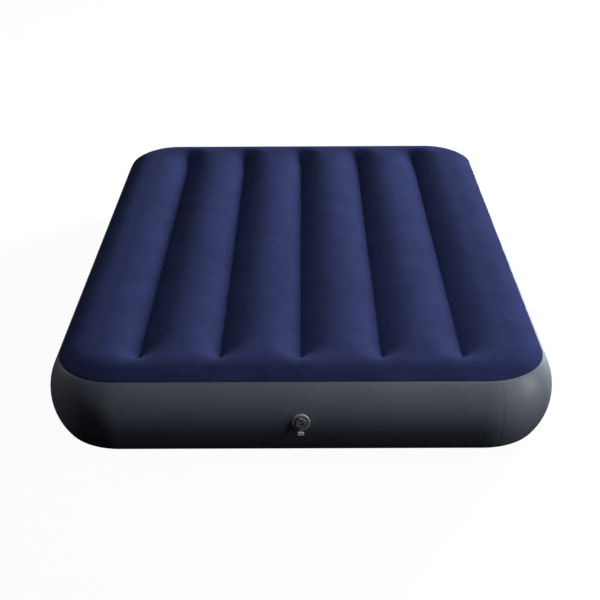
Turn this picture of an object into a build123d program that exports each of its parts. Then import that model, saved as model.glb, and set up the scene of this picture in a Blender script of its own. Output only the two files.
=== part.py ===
from build123d import *

import os
from math import asin, cos, degrees, radians, sin, sqrt

# Full-size air bed, inflated. Millimetres, +Z up, +Y along the chambers, valve at -Y.
# The origin is on the floor, under the middle of the bed.

# ---- driving dimensions of the bed ------------------------------------------------
BED_WIDTH = 1370.0  # across the chambers, at the widest of the bulged wall
BED_LENGTH = 1910.0  # along the chambers, at the same level
BED_HEIGHT = 256.0  # floor to the crowns of the chambers
CORNER_RADIUS = 200.0  # plan radius of a corner, at the widest
FILM = 1.2  # thickness that stands for the 0.4 mm film
SHOULDER_RADIUS = 60.0  # rolled edge between the top sheet's crown and its seam
SEAM_ANGLE = 35.0  # slope of the profile at the seam, from upright
CHAMBERS = 6
GROOVE_DEPTH = 35.0  # crown of a chamber down to the crease beside it
CROWN_CUT = 0.6  # how much of each chamber's arc the floor plane flattens
BEAM_END_GAP = 142.0  # end of the bed to the end of a beam, where the air passes
GROOVE_RUNOUT = 50.0  # past the beam's end, until the crease reaches the crown
WELD_STRIP_WIDTH = 24.0  # strips that weld a beam to the top and bottom sheets
SEAM_LAP_OUT = 8.0  # side wall's hem under the sheet, past the seam
SEAM_LAP_IN = 6.0  # and on the wall's own side of the seam

# ---- driving dimensions of the valve ----------------------------------------------
BORE_RADIUS = 15.5  # bore of the base, which takes the plug
SEAT_WIDTH = 2.1  # ledge around the bore, for the seal and the plug's head
RING_WIDTH = 6.4  # raised ring around the recess
RING_PROUD = 4.0  # front of the ring, before the wall's widest
RECESS_DEPTH = 2.6
RING_ROUND = 1.2
NECK_WALL = 2.0
NECK_LENGTH = 20.0  # inwards from the wall's widest
NECK_GAP = 0.3  # neck to the hole in the wall and in the patch
PATCH_MARGIN = 20.5  # patch past the neck, all round
PLUG_CLEARANCE = 0.1  # running clearance of the plug in its bore
PLUG_WALL = 4.1
PLUG_LENGTH = 14.0  # plug's body behind the seat
PLUG_LEAD = 1.0  # chamfer at the plug's inner end
HEAD_GAP = 0.4  # plug's head to the recess, all round
SEAL_THICKNESS = 1.0
SEAL_WIDTH = 1.2
SPIDER_DEPTH = 3.0
SPOKE_WIDTH = 2.0
SPOKES = 3
HUB_RADIUS = 3.5
STEM_RADIUS = 1.4
STEM_CLEARANCE = 0.1
STEM_HEAD_RADIUS = 2.6
STEM_HEAD_LENGTH = 1.2
STEM_STOP_GAP = 0.1  # stem's head to the hub when the flap is fully open
FLAP_TRAVEL = 2.5
FLAP_THICKNESS = 1.0
FLAP_LAP = 0.9  # flap past the airway, all round
CAP_LAP = 3.2  # cap past the airway, all round
CAP_THICKNESS = 3.2
CAP_ROUND = 0.8
CAP_GAP = 0.2  # cap's disc to the plug's face
STOPPER_LENGTH = 5.0
STOPPER_GAP = 0.3  # at its root
STOPPER_TAPER = 8.0  # degrees, so that it swings out freely
GRIP_RIM = 4.5  # cap's rim around the finger grip
GRIP_LOBE_RADIUS = 4.4
GRIP_DEPTH = 2.0
GRIP_RIB = 1.8
HINGE_OFFSET = 1.4  # hinge axis past the cap's rim
KNUCKLE_RADIUS = 1.1
KNUCKLE_LENGTH = 8.0
KNUCKLE_GAP = 0.3  # knuckle to the plug's face
KNUCKLE_NECK = 1.8  # thickness of the link from the knuckle to the cap
STRAP_WIDTH = 11.0
STRAP_THICKNESS = 1.2
STRAP_GAP = 0.5  # strap to the ring, so that it clears it as the plug turns
STRAP_ROOT = 3.0  # how far the strap runs into the cap
STRAP_STOP = 1.5  # strap's end short of the tab's lower edge
TAB_WIDTH = 17.0
TAB_HEIGHT = 9.0
TAB_THICKNESS = 2.4
TAB_ROUND = 2.5
TAB_GAP = 2.5  # ring to the tab's upper edge

# ---- sizes worked out from them ----------------------------------------------------
MID = BED_HEIGHT / 2
SEAM_SIN = sin(radians(SEAM_ANGLE))
SEAM_COS = cos(radians(SEAM_ANGLE))
SEAM_HEIGHT = BED_HEIGHT - SHOULDER_RADIUS * (1 - SEAM_SIN)
WALL_RADIUS = (SEAM_HEIGHT - MID) / SEAM_SIN
SEAM_INSET = WALL_RADIUS * (1 - SEAM_COS)
CROWN_INSET = SEAM_INSET + SHOULDER_RADIUS * SEAM_COS
CROWN_X = BED_WIDTH / 2 - CROWN_INSET
CROWN_Y = BED_LENGTH / 2 - CROWN_INSET
CROWN_CORNER = CORNER_RADIUS - CROWN_INSET

# The beams share the width between the seams evenly.
PITCH = (BED_WIDTH - 2 * SEAM_INSET) / CHAMBERS
BEAM_X = [PITCH * (k - CHAMBERS / 2) for k in range(1, CHAMBERS)]
BEAM_HALF = BED_LENGTH / 2 - BEAM_END_GAP
ARC_RISE = GROOVE_DEPTH + CROWN_CUT
CHAMBER_RADIUS = (PITCH / 2) ** 2 / (2 * ARC_RISE) + ARC_RISE / 2
CHAMBER_Z = BED_HEIGHT + CROWN_CUT - CHAMBER_RADIUS
RUNOUT_RADIUS = (GROOVE_RUNOUT**2 + GROOVE_DEPTH**2) / (2 * GROOVE_DEPTH)
RUNOUT_ANGLE = degrees(asin(GROOVE_RUNOUT / RUNOUT_RADIUS)) + 3
TROUGH_CLEAR = (RUNOUT_RADIUS - GROOVE_DEPTH) / 2  # cutting shapes past the bed, below the runout's axis

FRONT = -BED_LENGTH / 2  # the wall's widest, at the valve end
VALVE_HEIGHT = MID
RECESS_RADIUS = BORE_RADIUS + SEAT_WIDTH
RING_RADIUS = RECESS_RADIUS + RING_WIDTH
RING_FACE = FRONT - RING_PROUD
SEAT_FACE = RING_FACE + RECESS_DEPTH
NECK_RADIUS = BORE_RADIUS + NECK_WALL
PATCH_RADIUS = NECK_RADIUS + PATCH_MARGIN
PLUG_RADIUS = BORE_RADIUS - PLUG_CLEARANCE
AIRWAY_RADIUS = PLUG_RADIUS - PLUG_WALL
HEAD_RADIUS = RECESS_RADIUS - HEAD_GAP
HEAD_BACK = SEAT_FACE - SEAL_THICKNESS
PLUG_END = SEAT_FACE + PLUG_LENGTH
HUB_FACE = PLUG_END - SPIDER_DEPTH
STEM_HEAD_BACK = HUB_FACE - FLAP_TRAVEL - STEM_STOP_GAP
CAP_RADIUS = AIRWAY_RADIUS + CAP_LAP
CAP_BACK = RING_FACE - CAP_GAP
CAP_FACE = CAP_BACK - CAP_THICKNESS
GRIP_LOBE_OFFSET = CAP_RADIUS - GRIP_RIM - GRIP_LOBE_RADIUS
HINGE_Y = RING_FACE - KNUCKLE_GAP - KNUCKLE_RADIUS
HINGE_Z = VALVE_HEIGHT + CAP_RADIUS + HINGE_OFFSET
STRAP_BACK = RING_FACE - STRAP_GAP
STRAP_TOP = STRAP_ROOT - CAP_RADIUS
TAB_TOP = -RING_RADIUS - TAB_GAP
STRAP_LOW = TAB_TOP - TAB_HEIGHT + STRAP_STOP


def valve_plane(y):
    """Upright plane at y, centred on the valve's axis, facing out of the bed."""
    return Plane(origin=(0, y, VALVE_HEIGHT), x_dir=(1, 0, 0), z_dir=(0, -1, 0))


def arc_height(x, inset):
    """Height of the chambers' arcs, moved in by the inset, at x from a crease."""
    return CHAMBER_Z + sqrt((CHAMBER_RADIUS - inset) ** 2 - (PITCH / 2 - abs(x)) ** 2)


def slab(inset):
    """The inflated bed without its grooves, moved in by the inset all round.

    The edge profile is three tangent arcs: shoulder, bulged wall and shoulder.
    """
    shoulder = SHOULDER_RADIUS - inset
    seam_out = shoulder * SEAM_COS
    seam_up = BED_HEIGHT - SHOULDER_RADIUS + shoulder * SEAM_SIN
    half_turn = radians((90 + SEAM_ANGLE) / 2)
    mid_out = shoulder * cos(half_turn)
    mid_up = BED_HEIGHT - SHOULDER_RADIUS + shoulder * sin(half_turn)
    top = BED_HEIGHT - inset
    edge_plane = Plane(origin=(0, -CROWN_Y, 0), x_dir=(0, -1, 0), z_dir=(-1, 0, 0))
    with BuildPart() as body:
        with BuildLine() as rim:
            leg = Line((0, -CROWN_Y), (CROWN_X - CROWN_CORNER, -CROWN_Y))
            for side_end in [
                (CROWN_X, CROWN_Y - CROWN_CORNER),
                (CROWN_CORNER - CROWN_X, CROWN_Y),
                (-CROWN_X, CROWN_CORNER - CROWN_Y),
                (0, -CROWN_Y),
            ]:
                corner = JernArc(leg @ 1, leg % 1, CROWN_CORNER, 90)
                leg = Line(corner @ 1, side_end)
        with BuildSketch(edge_plane):
            with BuildLine():
                ThreePointArc((0, top), (mid_out, mid_up), (seam_out, seam_up))
                ThreePointArc(
                    (seam_out, seam_up),
                    (CROWN_INSET - inset, MID),
                    (seam_out, BED_HEIGHT - seam_up),
                )
                ThreePointArc(
                    (seam_out, BED_HEIGHT - seam_up),
                    (mid_out, BED_HEIGHT - mid_up),
                    (0, inset),
                )
                Line((0, inset), (0, top))
            make_face()
        sweep(path=rim.wires()[0])
        with BuildSketch(Plane.XY.offset(inset)):
            RectangleRounded(2 * CROWN_X, 2 * CROWN_Y, CROWN_CORNER)
        extrude(amount=top - inset)
    return body.part


def trough(x, inset):
    """What a beam pulls out of the bed's top at x: a channel from crown to crown.

    It runs straight over the beam, then curves up and out past both ends of it.
    """
    arc = CHAMBER_RADIUS - inset
    top = BED_HEIGHT - inset
    reach = PITCH / 2 - sqrt(arc**2 - (arc - CROWN_CUT) ** 2)
    crease = arc_height(0, inset)
    clear = BED_HEIGHT + TROUGH_CLEAR
    turn = (0, -BEAM_HALF, BED_HEIGHT - GROOVE_DEPTH + RUNOUT_RADIUS)
    with BuildPart() as channel:
        with BuildSketch(Plane.XZ.offset(BEAM_HALF)) as section:
            with BuildLine():
                Polyline((x - reach, top), (x - reach, clear), (x + reach, clear), (x + reach, top))
                RadiusArc((x, crease), (x + reach, top), arc)
                RadiusArc((x - reach, top), (x, crease), arc)
            make_face()
        extrude(amount=-BEAM_HALF)
        revolve(section.sketch.faces(), axis=Axis(turn, (-1, 0, 0)), revolution_arc=RUNOUT_ANGLE)
        mirror(about=Plane.XZ)
    return channel.part


def air_body(inset):
    """The whole bed with its grooves above and below, moved in by the inset."""
    with BuildPart() as body:
        add(slab(inset))
        for x in BEAM_X:
            channel = trough(x, inset)
            add(channel, mode=Mode.SUBTRACT)
            add(mirror(channel, about=Plane.XY.offset(MID), mode=Mode.PRIVATE), mode=Mode.SUBTRACT)
    return body.part


def edge_band(low, high, inset, depth):
    """Band of the edge profile between two heights, from the inset to a depth behind it."""
    with BuildPart() as band:
        with BuildSketch(Plane.XY.offset(low)):
            Rectangle(BED_WIDTH + 2, BED_LENGTH + 2)
            RectangleRounded(2 * CROWN_X, 2 * CROWN_Y, CROWN_CORNER, mode=Mode.SUBTRACT)
        extrude(amount=high - low)
        add(slab(inset), mode=Mode.INTERSECT)
        add(slab(inset + depth), mode=Mode.SUBTRACT)
    return band.part


# ---- sheets and side wall ----------------------------------------------------------
outer_body = air_body(0)
inner_body = air_body(FILM)

with BuildPart() as top_sheet:
    add(outer_body)
    add(inner_body, mode=Mode.SUBTRACT)
    with BuildSketch(Plane.XY.offset(MID)):
        Rectangle(BED_WIDTH + 2, BED_LENGTH + 2)
    extrude(amount=-BED_HEIGHT, mode=Mode.SUBTRACT)
    with BuildSketch(Plane.XY.offset(MID)):
        Rectangle(BED_WIDTH + 2, BED_LENGTH + 2)
        RectangleRounded(2 * CROWN_X, 2 * CROWN_Y, CROWN_CORNER, mode=Mode.SUBTRACT)
    extrude(amount=SEAM_HEIGHT - MID, mode=Mode.SUBTRACT)

with BuildPart() as bottom_sheet:
    mirror(top_sheet.part, about=Plane.XY.offset(MID))

with BuildPart() as side_wall:
    add(edge_band(BED_HEIGHT - SEAM_HEIGHT, SEAM_HEIGHT, 0, FILM))
    upper_hem = edge_band(SEAM_HEIGHT - SEAM_LAP_IN, SEAM_HEIGHT + SEAM_LAP_OUT, FILM, FILM)
    add(upper_hem)
    mirror(upper_hem, about=Plane.XY.offset(MID))
    with BuildSketch(valve_plane(FRONT + PATCH_RADIUS)):
        Circle(NECK_RADIUS + NECK_GAP)
    extrude(amount=2 * PATCH_RADIUS, mode=Mode.SUBTRACT)

pieces = {"top_sheet": top_sheet, "bottom_sheet": bottom_sheet, "side_wall": side_wall}

# ---- beams: a web with a weld strip along each edge --------------------------------
STRIP_HALF = WELD_STRIP_WIDTH / 2
STRIP_OUT = 2 * FILM  # underside of a strip, in from the bed's surface

for number, x in enumerate(BEAM_X, start=1):
    with BuildPart() as top_strip:
        with BuildSketch(Plane.XZ):
            with BuildLine():
                rim_in = arc_height(STRIP_HALF, FILM)
                rim_out = arc_height(STRIP_HALF, STRIP_OUT)
                RadiusArc((x - STRIP_HALF, rim_in), (x, arc_height(0, FILM)), CHAMBER_RADIUS - FILM)
                RadiusArc((x, arc_height(0, FILM)), (x + STRIP_HALF, rim_in), CHAMBER_RADIUS - FILM)
                Line((x + STRIP_HALF, rim_in), (x + STRIP_HALF, rim_out))
                RadiusArc(
                    (x, arc_height(0, STRIP_OUT)),
                    (x + STRIP_HALF, rim_out),
                    CHAMBER_RADIUS - STRIP_OUT,
                )
                RadiusArc(
                    (x - STRIP_HALF, rim_out),
                    (x, arc_height(0, STRIP_OUT)),
                    CHAMBER_RADIUS - STRIP_OUT,
                )
                Line((x - STRIP_HALF, rim_out), (x - STRIP_HALF, rim_in))
            make_face()
        extrude(amount=BEAM_HALF, both=True)

    with BuildPart() as bottom_strip:
        mirror(top_strip.part, about=Plane.XY.offset(MID))

    web_side = arc_height(FILM / 2, STRIP_OUT)
    web_peak = arc_height(0, STRIP_OUT)
    with BuildPart() as web:
        with BuildSketch(Plane.XZ):
            with BuildLine():
                Polyline(
                    (x - FILM / 2, BED_HEIGHT - web_side),
                    (x, BED_HEIGHT - web_peak),
                    (x + FILM / 2, BED_HEIGHT - web_side),
                    (x + FILM / 2, web_side),
                    (x, web_peak),
                    (x - FILM / 2, web_side),
                    close=True,
                )
            make_face()
        extrude(amount=BEAM_HALF, both=True)

    pieces[f"beam_{number}_web"] = web
    pieces[f"beam_{number}_top_weld_strip"] = top_strip
    pieces[f"beam_{number}_bottom_weld_strip"] = bottom_strip

# ---- valve base, welded into the front of the side wall -----------------------------
with BuildPart() as valve_patch:
    with BuildSketch(valve_plane(FRONT + PATCH_RADIUS)):
        Circle(PATCH_RADIUS)
        Circle(NECK_RADIUS + NECK_GAP, mode=Mode.SUBTRACT)
    extrude(amount=PATCH_RADIUS)
    add(slab(FILM), mode=Mode.INTERSECT)
    add(slab(2 * FILM), mode=Mode.SUBTRACT)

with BuildPart() as valve_base:
    with BuildSketch(valve_plane(RING_FACE)):
        Circle(RING_RADIUS)
    extrude(amount=-RING_PROUD - RING_RADIUS)
    fillet(valve_base.faces().sort_by(Axis.Y)[0].edges(), radius=RING_ROUND)
    add(slab(0), mode=Mode.SUBTRACT)
    with BuildSketch(valve_plane(SEAT_FACE)):
        Circle(NECK_RADIUS)
    extrude(amount=SEAT_FACE - FRONT - NECK_LENGTH)
    with BuildSketch(valve_plane(RING_FACE)):
        Circle(RECESS_RADIUS)
    extrude(amount=-RECESS_DEPTH, mode=Mode.SUBTRACT)
    with BuildSketch(valve_plane(RING_FACE)):
        Circle(BORE_RADIUS)
    extrude(amount=-RING_PROUD - NECK_LENGTH, mode=Mode.SUBTRACT)

# ---- plug that screws into the base, with its seal -------------------------------------
with BuildPart() as plug_seal:
    with BuildSketch(valve_plane(SEAT_FACE)):
        Circle(BORE_RADIUS + SEAL_WIDTH)
        Circle(BORE_RADIUS, mode=Mode.SUBTRACT)
    extrude(amount=SEAL_THICKNESS)

with BuildPart() as valve_plug:
    with BuildSketch(valve_plane(RING_FACE)):
        Circle(HEAD_RADIUS)
    extrude(amount=RING_FACE - HEAD_BACK)
    with BuildSketch(valve_plane(HEAD_BACK)):
        Circle(PLUG_RADIUS)
    extrude(amount=HEAD_BACK - PLUG_END)
    chamfer(valve_plug.faces().sort_by(Axis.Y)[-1].edges(), length=PLUG_LEAD)
    with BuildSketch(valve_plane(RING_FACE)):
        Circle(AIRWAY_RADIUS)
    extrude(amount=RING_FACE - PLUG_END, mode=Mode.SUBTRACT)
    with BuildSketch(valve_plane(PLUG_END)):
        Circle(HUB_RADIUS)
        with PolarLocations((AIRWAY_RADIUS + 1) / 2, SPOKES, start_angle=90):
            Rectangle(AIRWAY_RADIUS, SPOKE_WIDTH)
    extrude(amount=SPIDER_DEPTH)
    with BuildSketch(valve_plane(PLUG_END)):
        Circle(STEM_RADIUS + STEM_CLEARANCE)
    extrude(amount=SPIDER_DEPTH, mode=Mode.SUBTRACT)

# ---- one-way flap and the stem that guides it in the plug's hub ------------------------
with BuildPart() as one_way_flap:
    with BuildSketch(valve_plane(PLUG_END + FLAP_THICKNESS)):
        Circle(AIRWAY_RADIUS + FLAP_LAP)
        Circle(STEM_RADIUS, mode=Mode.SUBTRACT)
    extrude(amount=FLAP_THICKNESS)

with BuildPart() as flap_stem:
    with BuildSketch(valve_plane(PLUG_END + FLAP_THICKNESS)):
        Circle(STEM_HEAD_RADIUS)
    extrude(amount=-STEM_HEAD_LENGTH)
    with BuildSketch(valve_plane(PLUG_END + FLAP_THICKNESS)):
        Circle(STEM_RADIUS)
    extrude(amount=PLUG_END + FLAP_THICKNESS - STEM_HEAD_BACK)
    with BuildSketch(valve_plane(STEM_HEAD_BACK)):
        Circle(STEM_HEAD_RADIUS)
    extrude(amount=STEM_HEAD_LENGTH)

# ---- cap with its stopper, finger grip, hinge knuckle and strap, and its pull tab ------
with BuildPart() as valve_cap:
    with BuildSketch(valve_plane(CAP_BACK)):
        Circle(CAP_RADIUS)
    extrude(amount=CAP_THICKNESS)
    fillet(valve_cap.faces().sort_by(Axis.Y)[0].edges(), radius=CAP_ROUND)
    with BuildSketch(valve_plane(CAP_FACE)):
        with PolarLocations(GRIP_LOBE_OFFSET, SPOKES, start_angle=90):
            Circle(GRIP_LOBE_RADIUS)
        with PolarLocations(GRIP_LOBE_OFFSET, SPOKES, start_angle=30):
            Rectangle(2 * GRIP_LOBE_OFFSET, GRIP_RIB, mode=Mode.SUBTRACT)
    extrude(amount=-GRIP_DEPTH, mode=Mode.SUBTRACT)
    with BuildSketch(valve_plane(CAP_BACK)):
        Circle(AIRWAY_RADIUS - STOPPER_GAP)
    extrude(amount=-STOPPER_LENGTH, taper=STOPPER_TAPER)
    with BuildSketch(Plane.YZ):
        with Locations((HINGE_Y, HINGE_Z)):
            Circle(KNUCKLE_RADIUS)
        with Locations((HINGE_Y, HINGE_Z - HINGE_OFFSET)):
            Rectangle(KNUCKLE_NECK, 2 * HINGE_OFFSET)
    extrude(amount=KNUCKLE_LENGTH / 2, both=True)
    with BuildSketch(valve_plane(STRAP_BACK)):
        with Locations((0, (STRAP_TOP + STRAP_LOW) / 2)):
            Rectangle(STRAP_WIDTH, STRAP_TOP - STRAP_LOW)
    extrude(amount=STRAP_THICKNESS)

with BuildPart() as pull_tab:
    with BuildSketch(valve_plane(STRAP_BACK - STRAP_THICKNESS)):
        with Locations((0, TAB_TOP - TAB_HEIGHT / 2)):
            RectangleRounded(TAB_WIDTH, TAB_HEIGHT, TAB_ROUND)
    extrude(amount=TAB_THICKNESS)

pieces.update(
    valve_patch=valve_patch,
    valve_base=valve_base,
    plug_seal=plug_seal,
    valve_plug=valve_plug,
    one_way_flap=one_way_flap,
    flap_stem=flap_stem,
    valve_cap=valve_cap,
    pull_tab=pull_tab,
)

os.makedirs("parts", exist_ok=True)
for name, piece in pieces.items():
    piece.part.label = name
    export_step(piece.part, f"parts/{name}.step")
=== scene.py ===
import math

import bpy
import numpy as np
from bpy.props import FloatProperty, FloatVectorProperty, PointerProperty
from mathutils import Matrix, Vector


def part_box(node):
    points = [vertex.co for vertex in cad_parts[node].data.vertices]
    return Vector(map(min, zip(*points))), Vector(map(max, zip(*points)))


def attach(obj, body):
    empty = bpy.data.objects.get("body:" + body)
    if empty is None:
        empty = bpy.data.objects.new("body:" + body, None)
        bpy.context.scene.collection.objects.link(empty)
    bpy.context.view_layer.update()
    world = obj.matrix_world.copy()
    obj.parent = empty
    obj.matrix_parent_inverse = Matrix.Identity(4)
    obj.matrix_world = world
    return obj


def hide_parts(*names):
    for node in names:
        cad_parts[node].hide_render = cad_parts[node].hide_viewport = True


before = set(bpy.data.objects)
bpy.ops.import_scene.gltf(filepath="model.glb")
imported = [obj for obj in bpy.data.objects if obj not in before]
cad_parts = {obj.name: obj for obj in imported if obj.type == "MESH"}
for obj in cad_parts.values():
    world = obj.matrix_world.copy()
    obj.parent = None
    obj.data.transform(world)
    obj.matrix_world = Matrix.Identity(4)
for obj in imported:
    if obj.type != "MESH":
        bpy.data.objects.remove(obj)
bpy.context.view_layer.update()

bl_info = {
    "name": "Air Mattress Maker",
    "version": (1, 0, 0),
    "blender": (4, 5, 0),
    "location": "3D View > Sidebar > Air Mattress",
    "description": "Makes the sheets, side wall, valve finishes and studio of an inflated bed",
    "category": "Add Mesh",
}

MM = 0.001
WALL_LOW, WALL_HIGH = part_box("side_wall")
BED_WIDTH = WALL_HIGH.x - WALL_LOW.x
BED_LENGTH = WALL_HIGH.y - WALL_LOW.y
BED_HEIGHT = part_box("top_sheet")[1].z
MID = BED_HEIGHT / 2
WEB_BOXES = [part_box(f"beam_{k}_web") for k in range(1, 6)]
BEAM_X = [(lo.x + hi.x) / 2 for lo, hi in WEB_BOXES]
BEAM_HALF = WEB_BOXES[0][1].y
PITCH = BEAM_X[1] - BEAM_X[0]
VALVE_LOW, VALVE_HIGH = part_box("valve_base")
VALVE_X = (VALVE_LOW.x + VALVE_HIGH.x) / 2

# The seams, wall and corners lie where the CAD bed has them.
CORNER_RADIUS = 200 * MM
SHOULDER_RADIUS = 60 * MM
SEAM_ANGLE = math.radians(35)
SEAM_HEIGHT = BED_HEIGHT - SHOULDER_RADIUS * (1 - math.sin(SEAM_ANGLE))
WALL_RADIUS = (SEAM_HEIGHT - MID) / math.sin(SEAM_ANGLE)
SEAM_INSET = WALL_RADIUS * (1 - math.cos(SEAM_ANGLE))
SEAM_X = BED_WIDTH / 2 - SEAM_INSET
SEAM_Y = BED_LENGTH / 2 - SEAM_INSET
SEAM_CORNER = CORNER_RADIUS - SEAM_INSET
SHOULDER_POWER = 3.4  # how quickly the sheet climbs from its seam
HOLE_RADIUS = 17.8 * MM  # the wall's hole, round the valve's neck

# The sheets' grid, and the relaxation of the membrane on it.
PITCH_CELLS = 32  # cells from one crease to the next
LENGTH_STEP = 12 * MM  # grid along the chambers
SHOULDER_LINES = 11  # grid lines over a shoulder
SWEEPS = 420
OVER_RELAXATION = 1.85
CREASE_WIDTH = 0.5 * MM  # a grid line this near a beam is its crease

# Gathers along the seam.
GATHER_REACH = 34 * MM  # in from the seam, where they have died away
GATHER_CORNER = 0.85  # share of their height that only the corners have
GATHER_STRAIGHT = 0.12  # and the share that is there all round

# The wall's grid, in cells.
HALF_FRONT_CELLS = 82  # from the valve to the corner
BACK_CELLS = 82
SIDE_CELLS = 128
CORNER_CELLS = 24
HALF_ROWS = 18  # from the wall's middle to its seam
HOLE_CELLS = 3  # from the valve's middle to the hole's edge
BLEND_CELLS = 8  # and to where the circles are squares again
HEM_SHARES = np.array([0.15, 0.5, 1.0])  # of the hem's width, where its rows lie
HEM_RUN = np.array([1.5, 5, 9]) * MM  # UV of those rows past the seam
HEM_DROP = 2.4 * MM  # the hem below the sheet's face
LAP_RUN = 0.524  # the strip's lap joint, along the wall from the valve


def linear(hex_colour):
    """An sRGB hex colour as linear light."""
    channels = [int(hex_colour[i:i + 2], 16) / 255 for i in (1, 3, 5)]
    return tuple(
        c / 12.92 if c <= 0.04045 else ((c + 0.055) / 1.055) ** 2.4 for c in channels
    )


def colour_prop(name, description, hex_colour):
    """A colour that the user may change, with its default as a hex value."""
    return FloatVectorProperty(
        name=name, description=description, default=linear(hex_colour),
        size=3, min=0.0, max=1.0, subtype="COLOR",
    )


# ---- settings ---------------------------------------------------------------------


class AirBedFilmSettings(bpy.types.PropertyGroup):
    """Sizes of the inflated film."""

    film: FloatProperty(
        name="Film thickness", description="Thickness of the PVC film",
        default=0.8 * MM, unit="LENGTH",
    )
    groove_depth: FloatProperty(
        name="Groove depth", description="Crown of a chamber down to the crease beside it",
        default=35 * MM, unit="LENGTH",
    )
    end_taper: FloatProperty(
        name="Beam end taper", description="Length over which a beam's end pulls less",
        default=60 * MM, unit="LENGTH",
    )
    end_pull: FloatProperty(
        name="Pull at the beam's end", description="Share of the groove's depth at the very end",
        default=0.75, min=0.0, max=1.0, subtype="FACTOR",
    )
    pucker: FloatProperty(
        name="Seam pucker", description="Height of the small gathers along the seam at a corner",
        default=0.7 * MM, unit="LENGTH",
    )
    pucker_pitch: FloatProperty(
        name="Pucker spacing", description="Distance from one gather to the next",
        default=24 * MM, unit="LENGTH",
    )
    seam_notch: FloatProperty(
        name="Seam notch", description="How far the welded seam lies below the film beside it",
        default=0.3 * MM, unit="LENGTH",
    )
    hem: FloatProperty(
        name="Hem", description="Width of the wall's hem under the sheet",
        default=8 * MM, unit="LENGTH",
    )


class AirBedColourSettings(bpy.types.PropertyGroup):
    """Colours of the film, valve and floor."""

    flock: colour_prop("Flock", "Navy flocking of the top sheet", "#2a3054")
    flock_pale: colour_prop("Flock against the nap", "Flocking brushed the other way", "#303760")
    wall: colour_prop("Side wall", "Grey film of the wall", "#6f7684")
    base: colour_prop("Bottom sheet", "Dark grey film of the base", "#3c4049")
    beam: colour_prop("Beams", "Film of the inner beams", "#777c86")
    valve: colour_prop("Valve ring", "Moulded valve base", "#a9adb4")
    plug: colour_prop("Plug", "Moulded plug and flap stem", "#34363c")
    cap: colour_prop("Cap", "Moulded cap and its strap", "#8d9198")
    tab: colour_prop("Pull tab", "White pull tab", "#fbfbf8")
    rubber: colour_prop("Seal", "Seal and one-way flap", "#1b1b1d")
    floor: colour_prop("Floor", "Studio floor, before its glow is added", "#3c3c3c")


class AirBedStageSettings(bpy.types.PropertyGroup):
    """Camera and lights."""

    camera_height: FloatProperty(
        name="Camera height", description="Height of the lens above the floor",
        default=1.7306, unit="LENGTH",
    )
    camera_back: FloatProperty(
        name="Camera distance", description="Distance of the lens in front of the bed's middle",
        default=3.4593, unit="LENGTH",
    )
    camera_side: FloatProperty(
        name="Camera side", description="Lens to the right of the bed's middle line",
        default=-0.0051, unit="LENGTH",
    )
    camera_tilt: FloatProperty(
        name="Camera tilt", description="How far the camera looks down",
        default=math.radians(26.4965), subtype="ANGLE",
    )
    camera_yaw: FloatProperty(
        name="Camera yaw", description="Turn of the camera about the vertical",
        default=math.radians(0.2835), subtype="ANGLE",
    )
    camera_roll: FloatProperty(
        name="Camera roll", description="Turn of the camera about its own axis",
        default=math.radians(-0.3573), subtype="ANGLE",
    )
    lens: FloatProperty(
        name="Focal length", description="Focal length in millimetres on a 36 mm sensor",
        default=68.42, min=1.0,
    )
    key_power: FloatProperty(
        name="Key light", description="Power of the low soft light behind at the right, in watts",
        default=1000.0, min=0.0,
    )
    side_power: FloatProperty(
        name="Side light", description="Power of the low soft light at the front right, in watts",
        default=70.0, min=0.0,
    )
    top_power: FloatProperty(
        name="Top light", description="Power of the light above the front edge, in watts",
        default=38.0, min=0.0,
    )
    rim_power: FloatProperty(
        name="Rim light", description="Power of the weak light at the left, in watts",
        default=40.0, min=0.0,
    )
    sky_power: FloatProperty(
        name="Room light", description="Strength of the soft light from the room above",
        default=0.05, min=0.0,
    )
    floor_size: FloatProperty(
        name="Floor size", description="Side of the square floor",
        default=60.0, unit="LENGTH",
    )
    floor_glow: FloatProperty(
        name="Floor glow", description="Light that lifts the pale floor towards white",
        default=0.96, min=0.0,
    )


# ---- meshes -----------------------------------------------------------------------


def mesh_piece(name, points, quads, uv, material, sharp=None):
    """A smooth mesh of quads with a UV per vertex, and sharp edges between marked vertices."""
    if np.isnan(points).any():
        raise RuntimeError(f"{name} has points that aren't numbers")
    mesh = bpy.data.meshes.new(name)
    mesh.vertices.add(len(points))
    mesh.vertices.foreach_set("co", points.astype(np.float32).ravel())
    mesh.loops.add(quads.size)
    mesh.loops.foreach_set("vertex_index", quads.astype(np.int32).ravel())
    mesh.polygons.add(len(quads))
    mesh.polygons.foreach_set("loop_start", np.arange(0, quads.size, 4, dtype=np.int32))
    mesh.update(calc_edges=True)
    layer = mesh.uv_layers.new(name="UVMap")
    layer.data.foreach_set("uv", uv[quads.ravel()].astype(np.float32).ravel())
    mesh.polygons.foreach_set("use_smooth", np.ones(len(quads), dtype=bool))
    if sharp is not None:
        ends = np.empty(2 * len(mesh.edges), dtype=np.int32)
        mesh.edges.foreach_get("vertices", ends)
        first, second = ends[0::2], ends[1::2]
        hard = (sharp[first] > 0) & (sharp[first] == sharp[second])
        mesh.attributes.new("sharp_edge", "BOOLEAN", "EDGE").data.foreach_set("value", hard)
    mesh.validate()
    mesh.update()
    piece = bpy.data.objects.new(name, mesh)
    bpy.context.scene.collection.objects.link(piece)
    piece.data.materials.append(material)
    return piece


def grid_quads(rows, columns, close=False):
    """Quads of a grid of rows and columns, where close joins the last column to the first."""
    row = np.arange(rows - 1)[:, None]
    column = np.arange(columns if close else columns - 1)[None, :]
    after = (column + 1) % columns
    corners = [row * columns + column, row * columns + after,
               (row + 1) * columns + after, (row + 1) * columns + column]
    grids = [np.broadcast_to(corner, (rows - 1, column.size)) for corner in corners]
    return np.stack(grids, -1).reshape(-1, 4)


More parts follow.
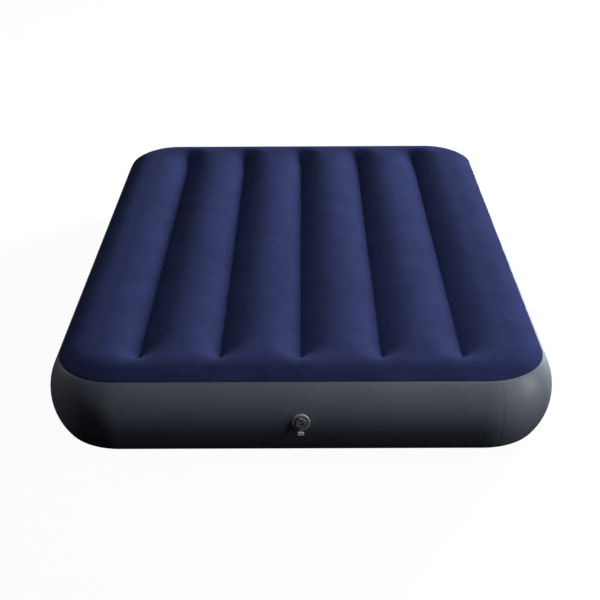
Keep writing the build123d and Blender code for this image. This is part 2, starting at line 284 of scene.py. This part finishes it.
def add_film(piece, thickness):
    """Gives the film its thickness, inwards from the surface."""
    wall = piece.modifiers.new("Film", "SOLIDIFY")
    wall.thickness = thickness
    wall.offset = -1
    wall.use_even_offset = True


def shoulder_height(rho):
    """Height of the sheet at a distance in from its seam.

    It rises steeply from the seam and levels out by the middle of the outer chamber: the
    height still to climb is a power of the share of that distance still to go.
    """
    to_go = np.clip(1 - rho / (PITCH / 2), 0, 1)
    return BED_HEIGHT - (BED_HEIGHT - SEAM_HEIGHT) * to_go**SHOULDER_POWER


def groove_dip(settings):
    """How far the beams pull the sheet down, on an even grid between the seams.

    The dip is a membrane: its curvature is everywhere that of a chamber's arc, it is
    pinned to the groove's depth along each beam, and it never rises above the crown.
    Red-black relaxation with over-relaxation settles it from a start at zero.
    """
    step = PITCH / PITCH_CELLS
    columns = round(2 * SEAM_X / step) + 1
    rows = 2 * round(SEAM_Y / step) + 1
    x = np.linspace(-SEAM_X, SEAM_X, columns)
    y = np.linspace(-SEAM_Y, SEAM_Y, rows)
    curvature = 2 * settings.groove_depth / (PITCH / 2) ** 2
    dip = np.zeros((rows, columns))
    into_taper = np.clip((np.abs(y) - BEAM_HALF + settings.end_taper) / settings.end_taper, 0, 1)
    ease = into_taper * into_taper * (3 - 2 * into_taper)
    depth = settings.groove_depth * (1 - (1 - settings.end_pull) * ease)
    on_beam = np.abs(y) <= BEAM_HALF
    beam_columns = [int(round((bx + SEAM_X) / (x[1] - x[0]))) for bx in BEAM_X]
    source = curvature * (x[1] - x[0]) ** 2 / 4
    checker = (np.add.outer(np.arange(rows), np.arange(columns)) % 2).astype(bool)[1:-1, 1:-1]
    for _ in range(SWEEPS):
        for colour in (checker, ~checker):
            around = (dip[:-2, 1:-1] + dip[2:, 1:-1] + dip[1:-1, :-2] + dip[1:-1, 2:]) / 4
            inner = dip[1:-1, 1:-1]
            moved = np.maximum(inner + OVER_RELAXATION * (around - source - inner), 0)
            inner[colour] = moved[colour]
            for column in beam_columns:
                dip[on_beam, column] = depth[on_beam]
    return x, y, dip


def sample(x, y, values, at_x, at_y):
    """Values of an even grid at any points, by weighing the four nearest."""
    fx = np.clip((at_x - x[0]) / (x[1] - x[0]), 0, len(x) - 1.001)
    fy = np.clip((at_y - y[0]) / (y[1] - y[0]), 0, len(y) - 1.001)
    ix, iy = fx.astype(int), fy.astype(int)
    wx, wy = fx - ix, fy - iy
    low = values[iy, ix] * (1 - wx) + values[iy, ix + 1] * wx
    high = values[iy + 1, ix] * (1 - wx) + values[iy + 1, ix + 1] * wx
    return low * (1 - wy) + high * wy


def sheet_lines(half, inner_step):
    """Grid lines across a sheet: close over both shoulders, even between them."""
    turn = np.linspace(SEAM_ANGLE, math.pi / 2, SHOULDER_LINES)
    rho = SHOULDER_RADIUS * (math.cos(SEAM_ANGLE) - np.cos(turn))
    edge = half - rho
    flat = half - rho[-1]
    cells = int(flat // inner_step)
    inner = np.arange(-cells, cells + 1) * inner_step
    if flat - inner[-1] < inner_step / 2:
        inner = inner[1:-1]
    return np.concatenate([-edge, inner, edge[::-1]])


def sheet_surface(settings):
    """Points, quads, UVs and crease marks of the top sheet.

    The sheet is a grid over its rounded outline. In each corner the grid's square maps to
    the quarter circle: the larger of the two offsets is the radius, and their ratio the
    angle. Height is the shoulder's curve, less the membrane's dip and small gathers that
    fade in from the seam, strongest round the corners.
    """
    line_x = sheet_lines(SEAM_X, PITCH / PITCH_CELLS)
    line_y = sheet_lines(SEAM_Y, LENGTH_STEP)
    gx, gy = np.meshgrid(line_x, line_y)
    a = (np.abs(gx) - (SEAM_X - SEAM_CORNER)) / SEAM_CORNER
    b = (np.abs(gy) - (SEAM_Y - SEAM_CORNER)) / SEAM_CORNER
    corner = (a > 0) & (b > 0)
    radius = np.maximum(a, b)
    ratio = np.where(corner, np.minimum(a, b) / np.where(corner, radius, 1), 0)
    angle = np.where(a >= b, ratio, 2 - ratio) * math.pi / 4
    px = np.where(corner, SEAM_X + SEAM_CORNER * (radius * np.cos(angle) - 1), np.abs(gx))
    py = np.where(corner, SEAM_Y + SEAM_CORNER * (radius * np.sin(angle) - 1), np.abs(gy))
    px, py = px * np.sign(gx), py * np.sign(gy)
    rho = np.where(corner, SEAM_CORNER * (1 - radius),
                   np.minimum(SEAM_X - np.abs(gx), SEAM_Y - np.abs(gy)))
    z = shoulder_height(rho)
    x, y, dip = groove_dip(settings)
    z = z - sample(x, y, dip, px, py)

    # Gathers: waves along the seam, over the outer shoulder, that die away inwards.
    along = np.arctan2(py, px) * 0.8 + px - py
    fade = np.sin(np.clip(rho / GATHER_REACH, 0, 1) * math.pi) ** 2
    strength = np.where(corner, np.sin(2 * angle) ** 2, 0.0) * GATHER_CORNER + GATHER_STRAIGHT
    phase = 2 * math.pi * along / settings.pucker_pitch
    wave = np.sin(phase) * 0.6 + np.sin(phase * 1.63 + 1.1) * 0.4
    z = z - settings.pucker * fade * strength * (0.5 + 0.5 * wave)

    # The weld lies in a shallow notch between the sheet and the wall.
    notch = settings.seam_notch * (rho < 0.1 * MM)
    out = np.maximum(np.hypot(px / SEAM_X**2, py / SEAM_Y**2), 1e-9)
    px = px - notch * px / SEAM_X**2 / out
    py = py - notch * py / SEAM_Y**2 / out

    points = np.stack([px, py, z], -1).reshape(-1, 3)
    crease = np.zeros_like(px)
    on_beam = np.abs(gy) <= BEAM_HALF
    for number, bx in enumerate(BEAM_X, start=1):
        crease[(np.abs(gx - bx) < CREASE_WIDTH) & on_beam] = number
    quads = grid_quads(len(line_y), len(line_x))
    uv = np.stack([px, py], -1).reshape(-1, 2)
    return points, quads, uv, crease.ravel()


def wall_outline():
    """Points and outward directions once round the wall's widest, from the valve's middle.

    Straight runs are divided evenly, and each corner is a quarter circle.
    """
    cx, cy = BED_WIDTH / 2 - CORNER_RADIUS, BED_LENGTH / 2 - CORNER_RADIUS
    quarter = math.pi / 2
    turn = np.linspace(0, quarter, CORNER_CELLS + 1)[:-1]
    half_front = np.linspace(0, cx, HALF_FRONT_CELLS + 1)[:-1]
    runs = [
        (half_front, -cy, -quarter),
        (cx, -cy, turn - quarter),
        (cx, np.linspace(-cy, cy, SIDE_CELLS + 1)[:-1], 0.0),
        (cx, cy, turn),
        (np.linspace(cx, -cx, BACK_CELLS + 1)[:-1], cy, quarter),
        (-cx, cy, turn + quarter),
        (-cx, np.linspace(cy, -cy, SIDE_CELLS + 1)[:-1], math.pi),
        (-cx, -cy, turn + math.pi),
        (half_front - cx, -cy, -quarter),
    ]
    columns = zip(*(np.broadcast_arrays(*run) for run in runs))
    centre_x, centre_y, angle = (np.concatenate(column) for column in columns)
    return centre_x, centre_y, angle


def wall_surface(settings):
    """Points, quads and UVs of the side wall, with the valve's hole.

    The profile is an arc, carried round the outline, with a hem at each edge that steps in
    under the sheet and follows its shoulder. Round the valve the grid's squares turn into
    circles, and the faces inside the hole are left out.
    """
    centre_x, centre_y, angle = wall_outline()
    columns = len(angle)
    step = np.hypot(np.diff(np.append(centre_x, centre_x[0])),
                    np.diff(np.append(centre_y, centre_y[0])))
    arc = np.abs((np.diff(np.append(angle, angle[0] + 2 * math.pi)) + math.pi)
                 % (2 * math.pi) - math.pi) * CORNER_RADIUS
    run = np.concatenate([[0], np.cumsum(step + arc)])[:-1]
    length = run[-1] + step[-1] + arc[-1]
    half_arc = WALL_RADIUS * SEAM_ANGLE
    levels = np.linspace(-half_arc, half_arc, 2 * HALF_ROWS + 1)

    # Round the valve: index distances become radii, blended back to the squares outside.
    row_index = np.arange(-HALF_ROWS, HALF_ROWS + 1)[:, None]
    column_index = (np.arange(columns) + columns // 2) % columns - columns // 2
    row_index, column_index = np.broadcast_arrays(row_index, column_index[None, :])
    ring = np.maximum(np.abs(row_index), np.abs(column_index))
    cell_run, cell_level = centre_x[1] - centre_x[0], levels[1] - levels[0]
    small = np.minimum(np.abs(row_index), np.abs(column_index))
    tilt = np.where(ring > 0, small / np.maximum(ring, 1), 0) * math.pi / 4
    major, minor = np.cos(tilt) * ring, np.sin(tilt) * ring
    tall = np.abs(row_index) > np.abs(column_index)
    round_run = np.where(tall, minor, major) * np.sign(column_index) * HOLE_RADIUS / HOLE_CELLS
    round_level = np.where(tall, major, minor) * np.sign(row_index) * HOLE_RADIUS / HOLE_CELLS
    weight = np.clip((BLEND_CELLS - ring) / (BLEND_CELLS - HOLE_CELLS), 0, 1)
    shift_run = weight * (round_run - column_index * cell_run)
    shift_level = weight * (round_level - row_index * cell_level)

    level = levels[:, None] + shift_level
    phi = level / WALL_RADIUS
    in_by = WALL_RADIUS * (1 - np.cos(phi))
    height = MID + WALL_RADIUS * np.sin(phi)
    edge = np.abs(row_index) == HALF_ROWS
    in_by = in_by + settings.seam_notch * edge

    # The hems, below the film of the sheets.
    steps = HEM_SHARES * settings.hem
    hem_in = SEAM_INSET + steps
    hem_up = shoulder_height(steps) - HEM_DROP
    ones = np.ones((1, columns))
    in_by = np.concatenate([hem_in[::-1, None] * ones, in_by, hem_in[:, None] * ones])
    height = np.concatenate([(BED_HEIGHT - hem_up[::-1])[:, None] * ones, height,
                             hem_up[:, None] * ones])
    hem_level = half_arc + HEM_RUN
    level = np.concatenate([-hem_level[::-1, None] * ones, level, hem_level[:, None] * ones])
    pad = np.zeros((len(HEM_SHARES), columns))
    shift_run = np.concatenate([pad, shift_run, pad])

    reach = CORNER_RADIUS - in_by
    x = centre_x + shift_run + reach * np.cos(angle)
    y = centre_y + reach * np.sin(angle)
    points = np.stack([x + VALVE_X, y, height], -1).reshape(-1, 3)
    rows = len(level)
    quads = grid_quads(rows, columns, close=True)
    row_of, column_of = quads[:, 0] // columns, quads[:, 0] % columns
    middle = rows // 2
    near_row = (row_of >= middle - HOLE_CELLS) & (row_of < middle + HOLE_CELLS)
    near_column = (column_of < HOLE_CELLS) | (column_of >= columns - HOLE_CELLS)
    quads = quads[~(near_row & near_column)]
    used = np.unique(quads)
    renumber = np.full(len(points), -1)
    renumber[used] = np.arange(len(used))

    # One run round the bed from the middle of the back, so that the UVs have no jump in front.
    around = np.where(run > length / 2, run - length, run)[None, :] + shift_run
    uv = np.stack([around, level], -1).reshape(-1, 2)
    seam = np.zeros((rows, columns), dtype=int)
    seam[len(HEM_SHARES)], seam[-1 - len(HEM_SHARES)] = 1, 2
    return points[used], renumber[quads], uv[used], seam.ravel()[used]


# ---- materials --------------------------------------------------------------------


# Sockets of a colour mix: its factor, its two colours and its result.
MIX_FACTOR, MIX_FIRST, MIX_SECOND, MIX_RESULT = 0, 6, 7, 2


def add_node(tree, kind, settings=None, links=None, stops=()):
    """Adds a node, sets its inputs, properties and colour stops, and links its inputs."""
    node = tree.nodes.new(kind)
    for key, value in (settings or {}).items():
        if isinstance(key, str) and hasattr(node, key):
            setattr(node, key, value)
        else:
            node.inputs[key].default_value = value
    for key, output in (links or {}).items():
        tree.links.new(output, node.inputs[key])
    if stops:
        elements = node.color_ramp.elements
        while len(elements) < len(stops):
            elements.new(0.5)
        for element, (place, colour) in zip(elements, stops):
            element.position = place
            element.color = colour
    return node


def new_material(name, **shader):
    """An empty node material with its Principled shader set, and the shader's tree."""
    material = bpy.data.materials.new(name)
    material.use_nodes = True
    tree = material.node_tree
    tree.nodes.clear()
    surface = add_node(tree, "ShaderNodeBsdfPrincipled", shader)
    add_node(tree, "ShaderNodeOutputMaterial", links={"Surface": surface.outputs["BSDF"]})
    return material, tree, surface


def rgba(colour, gain=1.0):
    """A colour property as a socket value, lighter or darker by a gain."""
    return tuple(min(1.0, c * gain) for c in colour) + (1.0,)


def flocked_pvc(colours):
    """PVC film with electrostatic flock: short upright fibres that swallow light face-on
    and glow at grazing angles, with faint patches where the nap lies another way."""
    material, tree, surface = new_material(
        "flocked_pvc_navy",
        **{"Roughness": 0.95, "IOR": 1.45, "Specular IOR Level": 0.0,
           "Sheen Weight": 0.05, "Sheen Roughness": 0.5, "Sheen Tint": rgba(linear("#8d9bd8"))},
    )
    place = add_node(tree, "ShaderNodeTexCoord").outputs["Object"]
    # patches of nap about 90 mm across
    patches = add_node(tree, "ShaderNodeTexNoise",
                       {"Scale": 1 / 0.09, "Detail": 3.0, "Roughness": 0.55}, {"Vector": place})
    # tufts of fibre: real ones stand 0.3 mm apart, drawn at 1.6 mm so that they show
    tufts = add_node(tree, "ShaderNodeTexNoise",
                     {"Scale": 1 / 0.0016, "Detail": 2.0, "Roughness": 0.7}, {"Vector": place})
    specks = add_node(tree, "ShaderNodeTexVoronoi", {"Scale": 1 / 0.0024}, {"Vector": place})
    nap = add_node(tree, "ShaderNodeValToRGB", links={"Fac": patches.outputs["Fac"]},
                   stops=[(0.3, rgba(colours.flock)), (0.7, rgba(colours.flock_pale))])
    grain = add_node(tree, "ShaderNodeValToRGB", links={"Fac": tufts.outputs["Fac"]},
                     stops=[(0.3, (0.72, 0.72, 0.74, 1)), (0.7, (1.0, 1.0, 1.0, 1))])
    mixed = add_node(tree, "ShaderNodeMix",
                     {"data_type": "RGBA", "blend_type": "MULTIPLY", MIX_FACTOR: 0.8},
                     {MIX_FIRST: nap.outputs["Color"], MIX_SECOND: grain.outputs["Color"]})
    tree.links.new(mixed.outputs[MIX_RESULT], surface.inputs["Base Color"])
    height = add_node(tree, "ShaderNodeMath", {"operation": "ADD"},
                      {0: tufts.outputs["Fac"], 1: specks.outputs["Distance"]})
    bump = add_node(tree, "ShaderNodeBump", {"Strength": 0.35, "Distance": 0.6 * MM},
                    {"Height": height.outputs[0]})
    tree.links.new(bump.outputs["Normal"], surface.inputs["Normal"])
    return material


def band(tree, value, centre, half, soft):
    """One inside a band about the centre, falling to zero over its soft edge."""
    off = add_node(tree, "ShaderNodeMath", {"operation": "SUBTRACT", 1: centre}, {0: value})
    away = add_node(tree, "ShaderNodeMath", {"operation": "ABSOLUTE"}, {0: off.outputs[0]})
    inside = add_node(
        tree, "ShaderNodeMapRange",
        {"From Min": half, "From Max": half + soft, "To Min": 1.0, "To Max": 0.0},
        {"Value": away.outputs[0]},
    )
    return inside.outputs["Result"]


def wall_pvc(colours):
    """Calendered PVC film, rolled smooth with a fine matt grain, welded in a pressed band
    along both seams and where the strip's two ends lap."""
    material, tree, surface = new_material(
        "calendered_pvc_grey",
        **{"IOR": 1.53, "Specular IOR Level": 0.42, "Coat Weight": 0.08, "Coat Roughness": 0.3},
    )
    coordinates = add_node(tree, "ShaderNodeTexCoord")
    place, uv = coordinates.outputs["Object"], coordinates.outputs["UV"]
    axes = add_node(tree, "ShaderNodeSeparateXYZ", links={"Vector": uv})
    clouds = add_node(tree, "ShaderNodeTexNoise",
                      {"Scale": 1 / 0.16, "Detail": 4.0, "Roughness": 0.5}, {"Vector": place})
    # the roller's grain: 0.4 mm on the real film, drawn at 1.2 mm so that it shows
    grain = add_node(tree, "ShaderNodeTexNoise",
                     {"Scale": 1 / 0.0012, "Detail": 2.0, "Roughness": 0.6}, {"Vector": place})
    tone = add_node(tree, "ShaderNodeValToRGB", links={"Fac": clouds.outputs["Fac"]},
                    stops=[(0.3, rgba(colours.wall, 0.93)), (0.7, rgba(colours.wall, 1.06))])
    seam = WALL_RADIUS * SEAM_ANGLE
    upper = band(tree, axes.outputs["Y"], seam - 2.5 * MM, 2.2 * MM, 0.8 * MM)
    lower = band(tree, axes.outputs["Y"], 2.5 * MM - seam, 2.2 * MM, 0.8 * MM)
    lap = band(tree, axes.outputs["X"], LAP_RUN, 5 * MM, 1 * MM)
    edges = add_node(tree, "ShaderNodeMath", {"operation": "MAXIMUM"}, {0: upper, 1: lower})
    welds = add_node(tree, "ShaderNodeMath", {"operation": "MAXIMUM"},
                     {0: edges.outputs[0], 1: lap})
    pressed = add_node(tree, "ShaderNodeMix",
                       {"data_type": "RGBA", "blend_type": "MIX",
                        MIX_SECOND: rgba(colours.wall, 0.92)},
                       {MIX_FACTOR: welds.outputs[0], MIX_FIRST: tone.outputs["Color"]})
    tree.links.new(pressed.outputs[MIX_RESULT], surface.inputs["Base Color"])
    rough = add_node(tree, "ShaderNodeMapRange", {"To Min": 0.44, "To Max": 0.58},
                     {"Value": clouds.outputs["Fac"]})
    tree.links.new(rough.outputs["Result"], surface.inputs["Roughness"])
    # bars of the welding electrode: a wave repeats every 0.628 / scale, here 12.8 mm along
    # either edge, which is coarser than the 1.6 mm or so of a real weld
    bars = add_node(tree, "ShaderNodeTexWave",
                    {"bands_direction": "DIAGONAL", "Scale": 49.0625}, {"Vector": uv})
    barred = add_node(tree, "ShaderNodeMath", {"operation": "MULTIPLY"},
                      {0: bars.outputs["Fac"], 1: welds.outputs[0]})
    deep = add_node(tree, "ShaderNodeMath", {"operation": "MULTIPLY", 1: 0.35},
                    {0: barred.outputs[0]})
    sunk = add_node(tree, "ShaderNodeMath", {"operation": "SUBTRACT"},
                    {0: deep.outputs[0], 1: welds.outputs[0]})
    weld_bump = add_node(tree, "ShaderNodeBump", {"Strength": 0.6, "Distance": 0.5 * MM},
                         {"Height": sunk.outputs[0]})
    bump = add_node(tree, "ShaderNodeBump", {"Strength": 0.12, "Distance": 0.3 * MM},
                    {"Height": grain.outputs["Fac"], "Normal": weld_bump.outputs["Normal"]})
    tree.links.new(bump.outputs["Normal"], surface.inputs["Normal"])
    return material


def base_pvc(colours):
    """Embossed PVC film of the base: a dull dark grey with a pebbled grain for grip."""
    material, tree, surface = new_material(
        "embossed_pvc_base", **{"IOR": 1.53, "Specular IOR Level": 0.4})
    place = add_node(tree, "ShaderNodeTexCoord").outputs["Object"]
    clouds = add_node(tree, "ShaderNodeTexNoise",
                      {"Scale": 1 / 0.12, "Detail": 4.0}, {"Vector": place})
    # pebbles 2.5 mm across
    pebbles = add_node(tree, "ShaderNodeTexVoronoi", {"Scale": 1 / 0.0025}, {"Vector": place})
    tone = add_node(tree, "ShaderNodeValToRGB", links={"Fac": clouds.outputs["Fac"]},
                    stops=[(0.3, rgba(colours.base, 0.85)), (0.7, rgba(colours.base, 1.1))])
    tree.links.new(tone.outputs["Color"], surface.inputs["Base Color"])
    rough = add_node(tree, "ShaderNodeMapRange", {"To Min": 0.45, "To Max": 0.6},
                     {"Value": clouds.outputs["Fac"]})
    tree.links.new(rough.outputs["Result"], surface.inputs["Roughness"])
    bump = add_node(tree, "ShaderNodeBump", {"Strength": 0.3, "Distance": 0.3 * MM},
                    {"Height": pebbles.outputs["Distance"]})
    tree.links.new(bump.outputs["Normal"], surface.inputs["Normal"])
    return material


def moulded(name, colour, roughness, spot, depth, **shader):
    """A moulded plastic or rubber: an even colour with slight flow clouds, a satin skin
    whose gloss varies, and the fine spark-eroded texture of the mould."""
    material, tree, surface = new_material(name, **shader)
    place = add_node(tree, "ShaderNodeTexCoord").outputs["Object"]
    clouds = add_node(tree, "ShaderNodeTexNoise",
                      {"Scale": 1 / 0.011, "Detail": 3.0}, {"Vector": place})
    skin = add_node(tree, "ShaderNodeTexNoise",
                    {"Scale": 1 / spot, "Detail": 2.0, "Roughness": 0.6}, {"Vector": place})
    tone = add_node(tree, "ShaderNodeValToRGB", links={"Fac": clouds.outputs["Fac"]},
                    stops=[(0.3, rgba(colour, 0.92)), (0.7, rgba(colour, 1.05))])
    tree.links.new(tone.outputs["Color"], surface.inputs["Base Color"])
    rough = add_node(tree, "ShaderNodeMapRange",
                     {"To Min": roughness - 0.06, "To Max": roughness + 0.08},
                     {"Value": clouds.outputs["Fac"]})
    tree.links.new(rough.outputs["Result"], surface.inputs["Roughness"])
    bump = add_node(tree, "ShaderNodeBump", {"Strength": 0.25, "Distance": depth},
                    {"Height": skin.outputs["Fac"]})
    tree.links.new(bump.outputs["Normal"], surface.inputs["Normal"])
    return material


def finish_node(names, material):
    """Gives CAD nodes a material in every slot."""
    for name in names:
        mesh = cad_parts[name].data
        if not mesh.materials:
            mesh.materials.append(material)
        for index in range(len(mesh.materials)):
            mesh.materials[index] = material


# ---- operators --------------------------------------------------------------------


class AIRBED_OT_sheets(bpy.types.Operator):
    """Make the flocked top sheet and the embossed bottom sheet"""

    bl_idname = "airbed.sheets"
    bl_label = "Top and bottom sheets"

    def execute(self, context):
        film = context.scene.airbed_film
        colours = context.scene.airbed_colours
        points, quads, uv, crease = sheet_surface(film)
        top = mesh_piece("flocked_top_sheet", points, quads, uv, flocked_pvc(colours), crease)
        add_film(top, film.film)
        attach(top, "bed")
        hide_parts("top_sheet")
        below = points * np.array([1, 1, -1]) + np.array([0, 0, BED_HEIGHT])
        base = mesh_piece("embossed_bottom_sheet", below, quads[:, ::-1], uv,
                          base_pvc(colours), crease)
        add_film(base, film.film)
        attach(base, "bed")
        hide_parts("bottom_sheet")
        return {"FINISHED"}


class AIRBED_OT_wall(bpy.types.Operator):
    """Make the bulged side wall with its hems and the valve's hole"""

    bl_idname = "airbed.wall"
    bl_label = "Side wall"

    def execute(self, context):
        film = context.scene.airbed_film
        points, quads, uv, seam = wall_surface(film)
        wall = mesh_piece("bulged_side_wall", points, quads, uv,
                          wall_pvc(context.scene.airbed_colours), seam)
        add_film(wall, film.film)
        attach(wall, "bed")
        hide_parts("side_wall")
        return {"FINISHED"}


class AIRBED_OT_finishes(bpy.types.Operator):
    """Give the beams, patch and valve their materials"""

    bl_idname = "airbed.finishes"
    bl_label = "Beam and valve finishes"

    def execute(self, context):
        colours = context.scene.airbed_colours
        beams = [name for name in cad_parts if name.startswith("beam_")]
        if not beams:
            raise RuntimeError("the frame has no beams")
        beam_film = moulded("calendered_pvc_beam", colours.beam, 0.45, 1.2 * MM, 0.3 * MM,
                            **{"IOR": 1.53, "Specular IOR Level": 0.4})
        patch_film = moulded("calendered_pvc_patch", colours.wall, 0.45, 1.2 * MM, 0.3 * MM,
                             **{"IOR": 1.53, "Specular IOR Level": 0.4})
        soft_ring = moulded("moulded_soft_pvc_grey", colours.valve, 0.38, 0.5 * MM, 0.15 * MM,
                            **{"IOR": 1.53, "Specular IOR Level": 0.5})
        dark_plug = moulded("moulded_polyethylene_dark", colours.plug, 0.42, 0.5 * MM, 0.15 * MM,
                           **{"IOR": 1.51, "Specular IOR Level": 0.5})
        silicone = moulded("moulded_silicone_black", colours.rubber, 0.6, 0.6 * MM, 0.1 * MM,
                           **{"IOR": 1.42, "Specular IOR Level": 0.4})
        grey_cap = moulded("moulded_polyethylene_grey", colours.cap, 0.4, 0.5 * MM, 0.15 * MM,
                           **{"IOR": 1.51, "Specular IOR Level": 0.5})
        white_tab = moulded("moulded_polypropylene_white", colours.tab, 0.34, 0.5 * MM, 0.1 * MM,
                            **{"IOR": 1.49, "Specular IOR Level": 0.5})
        finish_node(beams, beam_film)
        finish_node(["valve_patch"], patch_film)
        finish_node(["valve_base"], soft_ring)
        finish_node(["valve_plug", "flap_stem"], dark_plug)
        finish_node(["valve_cap"], grey_cap)
        finish_node(["plug_seal", "one_way_flap"], silicone)
        finish_node(["pull_tab"], white_tab)
        return {"FINISHED"}


class AIRBED_OT_stage(bpy.types.Operator):
    """Make the pale floor, the soft lights and the camera"""

    bl_idname = "airbed.stage"
    bl_label = "Studio"

    def execute(self, context):
        stage = context.scene.airbed_stage
        colours = context.scene.airbed_colours
        scene = context.scene
        half = stage.floor_size / 2
        # satin painted board, with the faintest cloud, lifted towards white
        paint, tree, surface = new_material(
            "painted_board_white",
            **{"Roughness": 0.9, "Specular IOR Level": 0.1, "Emission Strength": stage.floor_glow,
               "Emission Color": (1, 1, 1, 1)},
        )
        place = add_node(tree, "ShaderNodeTexCoord").outputs["Object"]
        clouds = add_node(tree, "ShaderNodeTexNoise", {"Scale": 0.6}, {"Vector": place})
        tone = add_node(tree, "ShaderNodeValToRGB", links={"Fac": clouds.outputs["Fac"]},
                        stops=[(0.3, rgba(colours.floor, 0.985)), (0.7, rgba(colours.floor))])
        tree.links.new(tone.outputs["Color"], surface.inputs["Base Color"])
        corners = half * np.array([[-1, -1, 0], [1, -1, 0], [1, 1, 0], [-1, 1, 0]])
        floor = mesh_piece("studio_floor", corners - np.array([0, 0, 0.5 * MM]),
                           np.array([[0, 1, 2, 3]]), corners[:, :2], paint)
        # a dome over the floor, white behind the bed from every side
        turns, rises = 49, 13
        turn, rise = np.meshgrid(np.linspace(0, 2 * math.pi, turns),
                                 np.linspace(0, math.pi / 2, rises))
        dome = np.stack([np.cos(rise) * np.cos(turn), np.cos(rise) * np.sin(turn),
                         np.sin(rise)], -1)
        around = np.stack([turn, rise], -1).reshape(-1, 2)
        backdrop = mesh_piece("studio_backdrop", dome.reshape(-1, 3) * half * 0.98,
                              grid_quads(rises, turns)[:, ::-1], around, paint)
        # neither lights the bed, whose lower wall would lose its shade
        for board in (floor, backdrop):
            board.visible_diffuse = False
            board.visible_glossy = False
        backdrop.visible_shadow = False

        # name, place, what it points at, side and power, in metres and watts
        lights = [
            ("key", (4.1, 4.9, 1.6), (0.0, 0.0, 0.2), 1.6, stage.key_power),
            ("side", (5.0, -1.7, 0.9), (0.2, -0.3, 0.2), 1.4, stage.side_power),
            ("top", (1.6, -1.25, 2.3), (0.3, -0.9, 0.2), 0.8, stage.top_power),
            ("rim", (-5.5, 1.2, 2.2), (-0.3, 0.0, 0.2), 1.6, stage.rim_power),
        ]
        for name, place, aim, size, power in lights:
            light = bpy.data.lights.new(name, "AREA")
            light.size = size
            light.energy = power
            lamp = bpy.data.objects.new(name, light)
            scene.collection.objects.link(lamp)
            lamp.location = place
            lamp.rotation_euler = (Vector(aim) - Vector(place)).to_track_quat("-Z", "Y").to_euler()

        # The room: soft light from above, and little from below the horizon.
        world = bpy.data.worlds.new("studio")
        scene.world = world
        world.use_nodes = True
        tree = world.node_tree
        tree.nodes.clear()
        direction = add_node(tree, "ShaderNodeTexCoord").outputs["Generated"]
        axes = add_node(tree, "ShaderNodeSeparateXYZ", links={"Vector": direction})
        rise = add_node(tree, "ShaderNodeMapRange",
                        {"From Min": -0.15, "From Max": 0.6}, {"Value": axes.outputs["Z"]})
        glow = add_node(tree, "ShaderNodeValToRGB", links={"Fac": rise.outputs["Result"]},
                        stops=[(0.0, (0.02, 0.02, 0.022, 1)), (0.25, (0.35, 0.36, 0.38, 1)),
                               (1.0, (1, 1, 1, 1))])
        background = add_node(tree, "ShaderNodeBackground", {"Strength": stage.sky_power},
                              {"Color": glow.outputs["Color"]})
        add_node(tree, "ShaderNodeOutputWorld", links={"Surface": background.outputs[0]})

        lens = bpy.data.cameras.new("camera")
        lens.lens = stage.lens
        lens.sensor_width = 36.0
        lens.clip_end = 200.0
        camera = bpy.data.objects.new("camera", lens)
        scene.collection.objects.link(camera)
        yaw = Matrix.Rotation(stage.camera_yaw, 4, "Z")
        spot = Matrix.Translation((stage.camera_side, -stage.camera_back, stage.camera_height))
        tilt = Matrix.Rotation(math.pi / 2 - stage.camera_tilt, 4, "X")
        roll = Matrix.Rotation(stage.camera_roll, 4, "Z")
        camera.matrix_world = yaw @ spot @ tilt @ roll
        scene.camera = camera
        scene.view_settings.view_transform = "Standard"
        return {"FINISHED"}


class AIRBED_PT_panel(bpy.types.Panel):
    """The air mattress maker's buttons and settings"""

    bl_idname = "AIRBED_PT_panel"
    bl_label = "Air Mattress"
    bl_space_type = "VIEW_3D"
    bl_region_type = "UI"
    bl_category = "Air Mattress"

    def draw(self, context):
        scene = context.scene
        for operator in OPERATORS:
            self.layout.operator(operator.bl_idname)
        for group in (scene.airbed_film, scene.airbed_colours, scene.airbed_stage):
            box = self.layout.box()
            for name in group.bl_rna.properties.keys():
                if name not in {"rna_type", "name"}:
                    box.prop(group, name)


SETTINGS = {
    "airbed_film": AirBedFilmSettings,
    "airbed_colours": AirBedColourSettings,
    "airbed_stage": AirBedStageSettings,
}
OPERATORS = (AIRBED_OT_sheets, AIRBED_OT_wall, AIRBED_OT_finishes, AIRBED_OT_stage)


def register():
    for settings in SETTINGS.values():
        bpy.utils.register_class(settings)
    for operator in OPERATORS:
        bpy.utils.register_class(operator)
    bpy.utils.register_class(AIRBED_PT_panel)
    for name, settings in SETTINGS.items():
        setattr(bpy.types.Scene, name, PointerProperty(type=settings))


def unregister():
    for name in SETTINGS:
        delattr(bpy.types.Scene, name)
    bpy.utils.unregister_class(AIRBED_PT_panel)
    for operator in reversed(OPERATORS):
        bpy.utils.unregister_class(operator)
    for settings in reversed(SETTINGS.values()):
        bpy.utils.unregister_class(settings)


def main():
    register()
    bpy.ops.airbed.stage()
    bpy.ops.airbed.sheets()
    bpy.ops.airbed.wall()
    bpy.ops.airbed.finishes()


if __name__ == "__main__":
    main()
